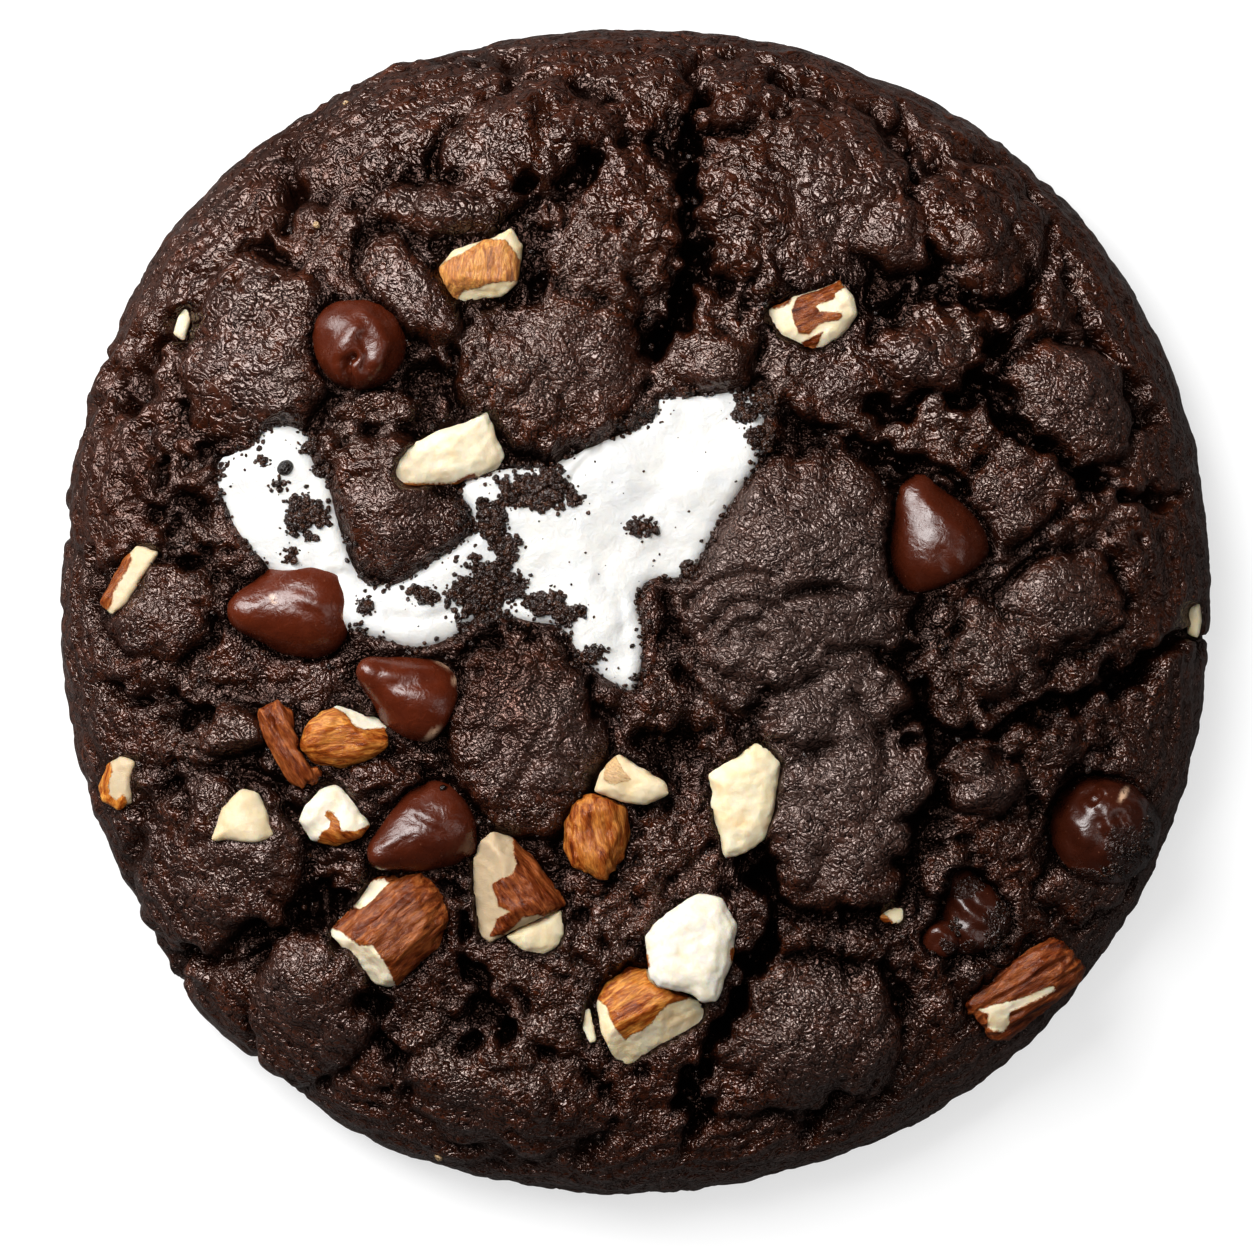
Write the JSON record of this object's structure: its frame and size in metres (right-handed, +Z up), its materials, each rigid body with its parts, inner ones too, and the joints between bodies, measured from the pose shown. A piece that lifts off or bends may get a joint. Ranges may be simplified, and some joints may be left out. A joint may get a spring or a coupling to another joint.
{
  "type": "rocky road cookie",
  "caption": "Thick round dark chocolate cookie topped with melted marshmallow, chocolate chips and chopped almonds and pecans.",
  "frame": {"origin": "middle of the flat underside, under the middle of the cookie's widths", "axes": "+Z up through the cookie, its shortest side; +X to the right and +Y up the page as seen from above"},
  "size_m": [0.1156, 0.117, 0.0221],
  "materials": {
    "dough": "matte",
    "marshmallow": "satin",
    "chocolate": "satin",
    "almond": "matte",
    "pecan": "satin"
  },
  "bodies": {
    "root": {"dough": "dough", "marshmallow": "marshmallow", "chip_1": "chocolate", "chip_2": "chocolate", "chip_3": "chocolate", "chip_4": "chocolate", "chip_5": "chocolate", "chip_6": "chocolate", "chip_7": "chocolate", "chip_8": "chocolate", "almond_1": "almond", "almond_2": "almond", "almond_3": "almond", "almond_4": "almond", "almond_5": "almond", "almond_6": "almond", "almond_7": "almond", "almond_8": "almond", "almond_9": "almond", "almond_10": "almond", "almond_11": "almond", "almond_12": "almond", "almond_13": "almond", "almond_14": "almond", "almond_15": "almond", "almond_16": "almond", "almond_17": "almond", "almond_18": "almond", "almond_19": "almond", "almond_20": "almond", "pecan_1": "pecan", "pecan_2": "pecan"}
  },
  "joints": []
}
